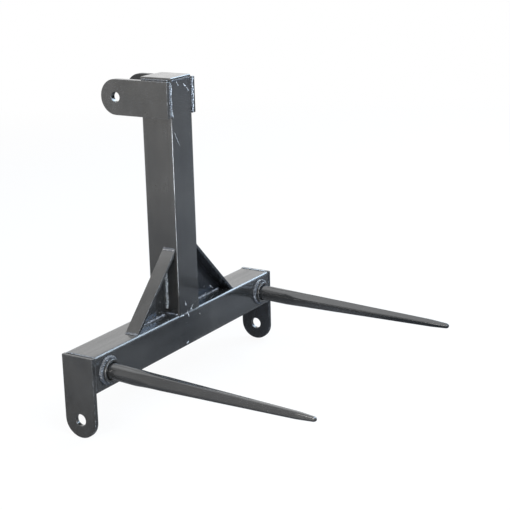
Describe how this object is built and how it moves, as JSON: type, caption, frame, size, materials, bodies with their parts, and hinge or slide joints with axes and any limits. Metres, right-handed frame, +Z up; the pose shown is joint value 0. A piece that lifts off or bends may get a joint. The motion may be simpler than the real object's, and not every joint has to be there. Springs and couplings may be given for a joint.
{
  "type": "bale spear",
  "caption": "Bale spear for a tractor's three-point hitch: square crossbeam with hitch ears, a gusseted mast with top-link ears, and forged tapered spears bolted through sleeves.",
  "frame": {"origin": "middle of the axis that the lower hitch holes share", "axes": "+X along the crossbeam, +Y towards the tractor, +Z up the mast; the spears point to -Y"},
  "size_m": [0.683, 0.6521, 0.6858],
  "materials": {
    "black_paint": "gloss",
    "painted_weld": "gloss",
    "zinc_plate": "satin"
  },
  "bodies": {
    "root": {"crossbeam": "black_paint", "gusset_strip_left": "black_paint", "gusset_strip_right": "black_paint", "gusset_web_left": "black_paint", "gusset_web_right": "black_paint", "lower_ear_left": "black_paint", "lower_ear_right": "black_paint", "lower_ear_weld_left": "painted_weld", "lower_ear_weld_right": "painted_weld", "mast": "black_paint", "mast_cap": "black_paint", "mast_cap_weld_front": "painted_weld", "mast_cap_weld_left": "painted_weld", "mast_cap_weld_rear": "painted_weld", "mast_cap_weld_right": "painted_weld", "mast_foot_weld_front": "painted_weld", "mast_foot_weld_left": "painted_weld", "mast_foot_weld_rear": "painted_weld", "mast_foot_weld_right": "painted_weld", "sleeve_weld_front_left": "painted_weld", "sleeve_weld_front_right": "painted_weld", "sleeve_weld_rear_left": "painted_weld", "sleeve_weld_rear_right": "painted_weld", "spear_left": "black_paint", "spear_nut_left": "zinc_plate", "spear_nut_right": "zinc_plate", "spear_right": "black_paint", "spear_sleeve_left": "black_paint", "spear_sleeve_right": "black_paint", "spear_washer_left": "zinc_plate", "spear_washer_right": "zinc_plate", "strip_beam_weld_left": "painted_weld", "strip_beam_weld_right": "painted_weld", "strip_mast_weld_left": "painted_weld", "strip_mast_weld_right": "painted_weld", "top_link_ear_left": "black_paint", "top_link_ear_right": "black_paint", "top_link_ear_weld_left": "painted_weld", "top_link_ear_weld_right": "painted_weld", "web_beam_weld_left": "painted_weld", "web_beam_weld_right": "painted_weld", "web_mast_weld_left": "painted_weld", "web_mast_weld_right": "painted_weld"}
  },
  "joints": []
}
